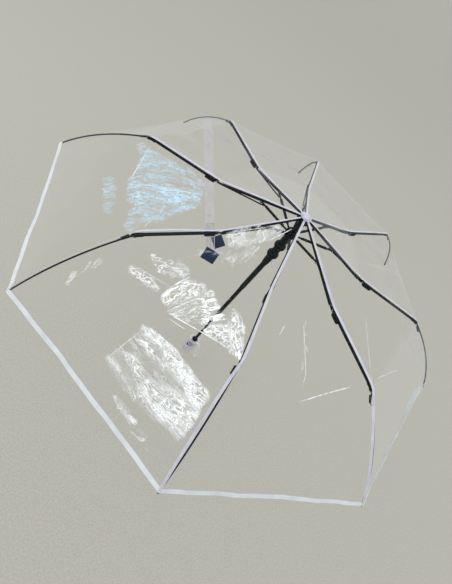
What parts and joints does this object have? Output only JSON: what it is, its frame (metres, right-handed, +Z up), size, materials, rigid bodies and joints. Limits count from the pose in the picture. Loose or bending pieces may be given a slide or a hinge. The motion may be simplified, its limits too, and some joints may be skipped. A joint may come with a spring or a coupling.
{
  "type": "folding umbrella",
  "caption": "Open folding umbrella: three-section shaft, eight three-fold ribs, clear canopy with white taped seams and a clear handle.",
  "frame": {"origin": "centre of the handle's flat base, the end away from the canopy", "axes": "+Z up the shaft towards the canopy's crown; +X towards rib 1, with rib numbers going clockwise seen from above"},
  "size_m": [0.9886, 0.9886, 0.626],
  "materials": {
    "rib_steel": "black lacquer",
    "shaft_steel": "black lacquer",
    "black_plastic": "satin",
    "clear_film": "clear flexible film, glossy",
    "white_plastic": "gloss",
    "clear_plastic": "clear gloss",
    "lilac_vinyl": "translucent vinyl, satin",
    "navy_card": "matt card"
  },
  "bodies": {
    "grip": {"handle": "clear_plastic", "shaft_lower_tube": "shaft_steel", "wrist_loop": "lilac_vinyl"},
    "button": {"push_button": "black_plastic"},
    "middle_tube": {"shaft_middle_tube": "shaft_steel"},
    "crown": {"shaft_upper_tube": "shaft_steel", "top_notch": "black_plastic", "top_cap": "white_plastic", "canopy_panel_1": "clear_film", "canopy_panel_2": "clear_film", "canopy_panel_3": "clear_film", "canopy_panel_4": "clear_film", "canopy_panel_5": "clear_film", "canopy_panel_6": "clear_film", "canopy_panel_7": "clear_film", "canopy_panel_8": "clear_film"},
    "runner": {"runner": "black_plastic", "runner_sleeve": "black_plastic"},
    "top_rib_1": {"top_rib_1": "rib_steel"},
    "stretcher_1": {"stretcher_1": "rib_steel"},
    "link_rod_1": {"link_rod_1": "rib_steel"},
    "middle_rib_1": {"middle_rib_1": "rib_steel"},
    "outer_rib_1": {"outer_rib_1": "rib_steel"},
    "top_rib_2": {"top_rib_2": "rib_steel"},
    "stretcher_2": {"stretcher_2": "rib_steel"},
    "link_rod_2": {"link_rod_2": "rib_steel"},
    "middle_rib_2": {"middle_rib_2": "rib_steel"},
    "outer_rib_2": {"outer_rib_2": "rib_steel"},
    "top_rib_3": {"top_rib_3": "rib_steel"},
    "stretcher_3": {"stretcher_3": "rib_steel"},
    "link_rod_3": {"link_rod_3": "rib_steel"},
    "middle_rib_3": {"middle_rib_3": "rib_steel"},
    "outer_rib_3": {"outer_rib_3": "rib_steel", "closure_strap": "lilac_vinyl", "strap_tag": "navy_card"},
    "top_rib_4": {"top_rib_4": "rib_steel"},
    "stretcher_4": {"stretcher_4": "rib_steel"},
    "link_rod_4": {"link_rod_4": "rib_steel"},
    "middle_rib_4": {"middle_rib_4": "rib_steel"},
    "outer_rib_4": {"outer_rib_4": "rib_steel"},
    "top_rib_5": {"top_rib_5": "rib_steel"},
    "stretcher_5": {"stretcher_5": "rib_steel"},
    "link_rod_5": {"link_rod_5": "rib_steel"},
    "middle_rib_5": {"middle_rib_5": "rib_steel"},
    "outer_rib_5": {"outer_rib_5": "rib_steel"},
    "top_rib_6": {"top_rib_6": "rib_steel"},
    "stretcher_6": {"stretcher_6": "rib_steel"},
    "link_rod_6": {"link_rod_6": "rib_steel"},
    "middle_rib_6": {"middle_rib_6": "rib_steel"},
    "outer_rib_6": {"outer_rib_6": "rib_steel"},
    "top_rib_7": {"top_rib_7": "rib_steel"},
    "stretcher_7": {"stretcher_7": "rib_steel"},
    "link_rod_7": {"link_rod_7": "rib_steel"},
    "middle_rib_7": {"middle_rib_7": "rib_steel"},
    "outer_rib_7": {"outer_rib_7": "rib_steel"},
    "top_rib_8": {"top_rib_8": "rib_steel"},
    "stretcher_8": {"stretcher_8": "rib_steel"},
    "link_rod_8": {"link_rod_8": "rib_steel"},
    "middle_rib_8": {"middle_rib_8": "rib_steel"},
    "outer_rib_8": {"outer_rib_8": "rib_steel"}
  },
  "joints": [
    {"name": "push_button_press", "type": "slide", "parent": "grip", "child": "button", "axis": [-0.9903, -0.1392, 0], "range_m": [0, 0.002], "stiffness_N_per_m": 400, "springref_m": -0.004},
    {"name": "lower_telescope", "type": "slide", "parent": "grip", "child": "middle_tube", "axis": [0, 0, -1], "range_m": [0, 0.13]},
    {"name": "upper_telescope", "type": "slide", "parent": "middle_tube", "child": "crown", "axis": [0, 0, -1], "range_m": [0, 0.13]},
    {"name": "runner_slide", "type": "slide", "parent": "crown", "child": "runner", "axis": [0, 0, -1], "range_m": [0, 0.1131], "deforming": ["canopy_panel_1", "canopy_panel_2", "canopy_panel_3", "canopy_panel_4", "canopy_panel_5", "canopy_panel_6", "canopy_panel_7", "canopy_panel_8", "closure_strap", "strap_tag"]},
    {"name": "top_rib_hinge_1", "type": "hinge", "parent": "crown", "child": "top_rib_1", "pos_m": [0.0115, 0, 0.582], "axis": [0, 1, 0], "range_deg": [0, 74.65]},
    {"name": "stretcher_hinge_1", "type": "hinge", "parent": "top_rib_1", "child": "stretcher_1", "pos_m": [0.08574, 0, 0.56155], "axis": [0, 1, 0], "range_deg": [-149.25, 0]},
    {"name": "link_hinge_1", "type": "hinge", "parent": "stretcher_1", "child": "link_rod_1", "pos_m": [0.07802, 0, 0.55943], "axis": [0, 1, 0], "range_deg": [0, 150.69]},
    {"name": "middle_rib_hinge_1", "type": "hinge", "parent": "top_rib_1", "child": "middle_rib_1", "pos_m": [0.17712, 0, 0.54312], "axis": [0, 1, 0], "range_deg": [-166.6, 0]},
    {"name": "outer_rib_hinge_1", "type": "hinge", "parent": "middle_rib_1", "child": "outer_rib_1", "pos_m": [0.3301, 0, 0.53411], "axis": [0, 1, 0], "range_deg": [0, 141.5]},
    {"name": "top_rib_hinge_2", "type": "hinge", "parent": "crown", "child": "top_rib_2", "pos_m": [0.00813, -0.00813, 0.582], "axis": [0.7071, 0.7071, 0], "range_deg": [0, 74.65]},
    {"name": "stretcher_hinge_2", "type": "hinge", "parent": "top_rib_2", "child": "stretcher_2", "pos_m": [0.06062, -0.06062, 0.56155], "axis": [0.7071, 0.7071, 0], "range_deg": [-149.25, 0]},
    {"name": "link_hinge_2", "type": "hinge", "parent": "stretcher_2", "child": "link_rod_2", "pos_m": [0.05517, -0.05517, 0.55943], "axis": [0.7071, 0.7071, 0], "range_deg": [0, 150.69]},
    {"name": "middle_rib_hinge_2", "type": "hinge", "parent": "top_rib_2", "child": "middle_rib_2", "pos_m": [0.12524, -0.12524, 0.54312], "axis": [0.7071, 0.7071, 0], "range_deg": [-166.6, 0]},
    {"name": "outer_rib_hinge_2", "type": "hinge", "parent": "middle_rib_2", "child": "outer_rib_2", "pos_m": [0.23342, -0.23342, 0.53411], "axis": [0.7071, 0.7071, 0], "range_deg": [0, 141.5]},
    {"name": "top_rib_hinge_3", "type": "hinge", "parent": "crown", "child": "top_rib_3", "pos_m": [0, -0.0115, 0.582], "axis": [1, 0, 0], "range_deg": [0, 74.65]},
    {"name": "stretcher_hinge_3", "type": "hinge", "parent": "top_rib_3", "child": "stretcher_3", "pos_m": [0, -0.08574, 0.56155], "axis": [1, 0, 0], "range_deg": [-149.25, 0]},
    {"name": "link_hinge_3", "type": "hinge", "parent": "stretcher_3", "child": "link_rod_3", "pos_m": [0, -0.07802, 0.55943], "axis": [1, 0, 0], "range_deg": [0, 150.69]},
    {"name": "middle_rib_hinge_3", "type": "hinge", "parent": "top_rib_3", "child": "middle_rib_3", "pos_m": [0, -0.17712, 0.54312], "axis": [1, 0, 0], "range_deg": [-166.6, 0]},
    {"name": "outer_rib_hinge_3", "type": "hinge", "parent": "middle_rib_3", "child": "outer_rib_3", "pos_m": [0, -0.3301, 0.53411], "axis": [1, 0, 0], "range_deg": [0, 141.5]},
    {"name": "top_rib_hinge_4", "type": "hinge", "parent": "crown", "child": "top_rib_4", "pos_m": [-0.00813, -0.00813, 0.582], "axis": [0.7071, -0.7071, 0], "range_deg": [0, 74.65]},
    {"name": "stretcher_hinge_4", "type": "hinge", "parent": "top_rib_4", "child": "stretcher_4", "pos_m": [-0.06062, -0.06062, 0.56155], "axis": [0.7071, -0.7071, 0], "range_deg": [-149.25, 0]},
    {"name": "link_hinge_4", "type": "hinge", "parent": "stretcher_4", "child": "link_rod_4", "pos_m": [-0.05517, -0.05517, 0.55943], "axis": [0.7071, -0.7071, 0], "range_deg": [0, 150.69]},
    {"name": "middle_rib_hinge_4", "type": "hinge", "parent": "top_rib_4", "child": "middle_rib_4", "pos_m": [-0.12524, -0.12524, 0.54312], "axis": [0.7071, -0.7071, 0], "range_deg": [-166.6, 0]},
    {"name": "outer_rib_hinge_4", "type": "hinge", "parent": "middle_rib_4", "child": "outer_rib_4", "pos_m": [-0.23342, -0.23342, 0.53411], "axis": [0.7071, -0.7071, 0], "range_deg": [0, 141.5]},
    {"name": "top_rib_hinge_5", "type": "hinge", "parent": "crown", "child": "top_rib_5", "pos_m": [-0.0115, 0, 0.582], "axis": [0, -1, 0], "range_deg": [0, 74.65]},
    {"name": "stretcher_hinge_5", "type": "hinge", "parent": "top_rib_5", "child": "stretcher_5", "pos_m": [-0.08574, 0, 0.56155], "axis": [0, -1, 0], "range_deg": [-149.25, 0]},
    {"name": "link_hinge_5", "type": "hinge", "parent": "stretcher_5", "child": "link_rod_5", "pos_m": [-0.07802, 0, 0.55943], "axis": [0, -1, 0], "range_deg": [0, 150.69]},
    {"name": "middle_rib_hinge_5", "type": "hinge", "parent": "top_rib_5", "child": "middle_rib_5", "pos_m": [-0.17712, 0, 0.54312], "axis": [0, -1, 0], "range_deg": [-166.6, 0]},
    {"name": "outer_rib_hinge_5", "type": "hinge", "parent": "middle_rib_5", "child": "outer_rib_5", "pos_m": [-0.3301, 0, 0.53411], "axis": [0, -1, 0], "range_deg": [0, 141.5]},
    {"name": "top_rib_hinge_6", "type": "hinge", "parent": "crown", "child": "top_rib_6", "pos_m": [-0.00813, 0.00813, 0.582], "axis": [-0.7071, -0.7071, 0], "range_deg": [0, 74.65]},
    {"name": "stretcher_hinge_6", "type": "hinge", "parent": "top_rib_6", "child": "stretcher_6", "pos_m": [-0.06062, 0.06062, 0.56155], "axis": [-0.7071, -0.7071, 0], "range_deg": [-149.25, 0]},
    {"name": "link_hinge_6", "type": "hinge", "parent": "stretcher_6", "child": "link_rod_6", "pos_m": [-0.05517, 0.05517, 0.55943], "axis": [-0.7071, -0.7071, 0], "range_deg": [0, 150.69]},
    {"name": "middle_rib_hinge_6", "type": "hinge", "parent": "top_rib_6", "child": "middle_rib_6", "pos_m": [-0.12524, 0.12524, 0.54312], "axis": [-0.7071, -0.7071, 0], "range_deg": [-166.6, 0]},
    {"name": "outer_rib_hinge_6", "type": "hinge", "parent": "middle_rib_6", "child": "outer_rib_6", "pos_m": [-0.23342, 0.23342, 0.53411], "axis": [-0.7071, -0.7071, 0], "range_deg": [0, 141.5]},
    {"name": "top_rib_hinge_7", "type": "hinge", "parent": "crown", "child": "top_rib_7", "pos_m": [0, 0.0115, 0.582], "axis": [-1, 0, 0], "range_deg": [0, 74.65]},
    {"name": "stretcher_hinge_7", "type": "hinge", "parent": "top_rib_7", "child": "stretcher_7", "pos_m": [0, 0.08574, 0.56155], "axis": [-1, 0, 0], "range_deg": [-149.25, 0]},
    {"name": "link_hinge_7", "type": "hinge", "parent": "stretcher_7", "child": "link_rod_7", "pos_m": [0, 0.07802, 0.55943], "axis": [-1, 0, 0], "range_deg": [0, 150.69]},
    {"name": "middle_rib_hinge_7", "type": "hinge", "parent": "top_rib_7", "child": "middle_rib_7", "pos_m": [0, 0.17712, 0.54312], "axis": [-1, 0, 0], "range_deg": [-166.6, 0]},
    {"name": "outer_rib_hinge_7", "type": "hinge", "parent": "middle_rib_7", "child": "outer_rib_7", "pos_m": [0, 0.3301, 0.53411], "axis": [-1, 0, 0], "range_deg": [0, 141.5]},
    {"name": "top_rib_hinge_8", "type": "hinge", "parent": "crown", "child": "top_rib_8", "pos_m": [0.00813, 0.00813, 0.582], "axis": [-0.7071, 0.7071, 0], "range_deg": [0, 74.65]},
    {"name": "stretcher_hinge_8", "type": "hinge", "parent": "top_rib_8", "child": "stretcher_8", "pos_m": [0.06062, 0.06062, 0.56155], "axis": [-0.7071, 0.7071, 0], "range_deg": [-149.25, 0]},
    {"name": "link_hinge_8", "type": "hinge", "parent": "stretcher_8", "child": "link_rod_8", "pos_m": [0.05517, 0.05517, 0.55943], "axis": [-0.7071, 0.7071, 0], "range_deg": [0, 150.69]},
    {"name": "middle_rib_hinge_8", "type": "hinge", "parent": "top_rib_8", "child": "middle_rib_8", "pos_m": [0.12524, 0.12524, 0.54312], "axis": [-0.7071, 0.7071, 0], "range_deg": [-166.6, 0]},
    {"name": "outer_rib_hinge_8", "type": "hinge", "parent": "middle_rib_8", "child": "outer_rib_8", "pos_m": [0.23342, 0.23342, 0.53411], "axis": [-0.7071, 0.7071, 0], "range_deg": [0, 141.5]}
  ],
  "couplings": [
    {"joint": "top_rib_hinge_1", "follows": "runner_slide", "rad_per_m": 11.512},
    {"joint": "stretcher_hinge_1", "follows": "runner_slide", "rad_per_m": -23.024},
    {"joint": "link_hinge_1", "follows": "runner_slide", "rad_per_m": 23.246},
    {"joint": "middle_rib_hinge_1", "follows": "runner_slide", "rad_per_m": -25.702},
    {"joint": "outer_rib_hinge_1", "follows": "runner_slide", "rad_per_m": 21.828},
    {"joint": "top_rib_hinge_2", "follows": "runner_slide", "rad_per_m": 11.512},
    {"joint": "stretcher_hinge_2", "follows": "runner_slide", "rad_per_m": -23.024},
    {"joint": "link_hinge_2", "follows": "runner_slide", "rad_per_m": 23.246},
    {"joint": "middle_rib_hinge_2", "follows": "runner_slide", "rad_per_m": -25.702},
    {"joint": "outer_rib_hinge_2", "follows": "runner_slide", "rad_per_m": 21.828},
    {"joint": "top_rib_hinge_3", "follows": "runner_slide", "rad_per_m": 11.512},
    {"joint": "stretcher_hinge_3", "follows": "runner_slide", "rad_per_m": -23.024},
    {"joint": "link_hinge_3", "follows": "runner_slide", "rad_per_m": 23.246},
    {"joint": "middle_rib_hinge_3", "follows": "runner_slide", "rad_per_m": -25.702},
    {"joint": "outer_rib_hinge_3", "follows": "runner_slide", "rad_per_m": 21.828},
    {"joint": "top_rib_hinge_4", "follows": "runner_slide", "rad_per_m": 11.512},
    {"joint": "stretcher_hinge_4", "follows": "runner_slide", "rad_per_m": -23.024},
    {"joint": "link_hinge_4", "follows": "runner_slide", "rad_per_m": 23.246},
    {"joint": "middle_rib_hinge_4", "follows": "runner_slide", "rad_per_m": -25.702},
    {"joint": "outer_rib_hinge_4", "follows": "runner_slide", "rad_per_m": 21.828},
    {"joint": "top_rib_hinge_5", "follows": "runner_slide", "rad_per_m": 11.512},
    {"joint": "stretcher_hinge_5", "follows": "runner_slide", "rad_per_m": -23.024},
    {"joint": "link_hinge_5", "follows": "runner_slide", "rad_per_m": 23.246},
    {"joint": "middle_rib_hinge_5", "follows": "runner_slide", "rad_per_m": -25.702},
    {"joint": "outer_rib_hinge_5", "follows": "runner_slide", "rad_per_m": 21.828},
    {"joint": "top_rib_hinge_6", "follows": "runner_slide", "rad_per_m": 11.512},
    {"joint": "stretcher_hinge_6", "follows": "runner_slide", "rad_per_m": -23.024},
    {"joint": "link_hinge_6", "follows": "runner_slide", "rad_per_m": 23.246},
    {"joint": "middle_rib_hinge_6", "follows": "runner_slide", "rad_per_m": -25.702},
    {"joint": "outer_rib_hinge_6", "follows": "runner_slide", "rad_per_m": 21.828},
    {"joint": "top_rib_hinge_7", "follows": "runner_slide", "rad_per_m": 11.512},
    {"joint": "stretcher_hinge_7", "follows": "runner_slide", "rad_per_m": -23.024},
    {"joint": "link_hinge_7", "follows": "runner_slide", "rad_per_m": 23.246},
    {"joint": "middle_rib_hinge_7", "follows": "runner_slide", "rad_per_m": -25.702},
    {"joint": "outer_rib_hinge_7", "follows": "runner_slide", "rad_per_m": 21.828},
    {"joint": "top_rib_hinge_8", "follows": "runner_slide", "rad_per_m": 11.512},
    {"joint": "stretcher_hinge_8", "follows": "runner_slide", "rad_per_m": -23.024},
    {"joint": "link_hinge_8", "follows": "runner_slide", "rad_per_m": 23.246},
    {"joint": "middle_rib_hinge_8", "follows": "runner_slide", "rad_per_m": -25.702},
    {"joint": "outer_rib_hinge_8", "follows": "runner_slide", "rad_per_m": 21.828}
  ]
}
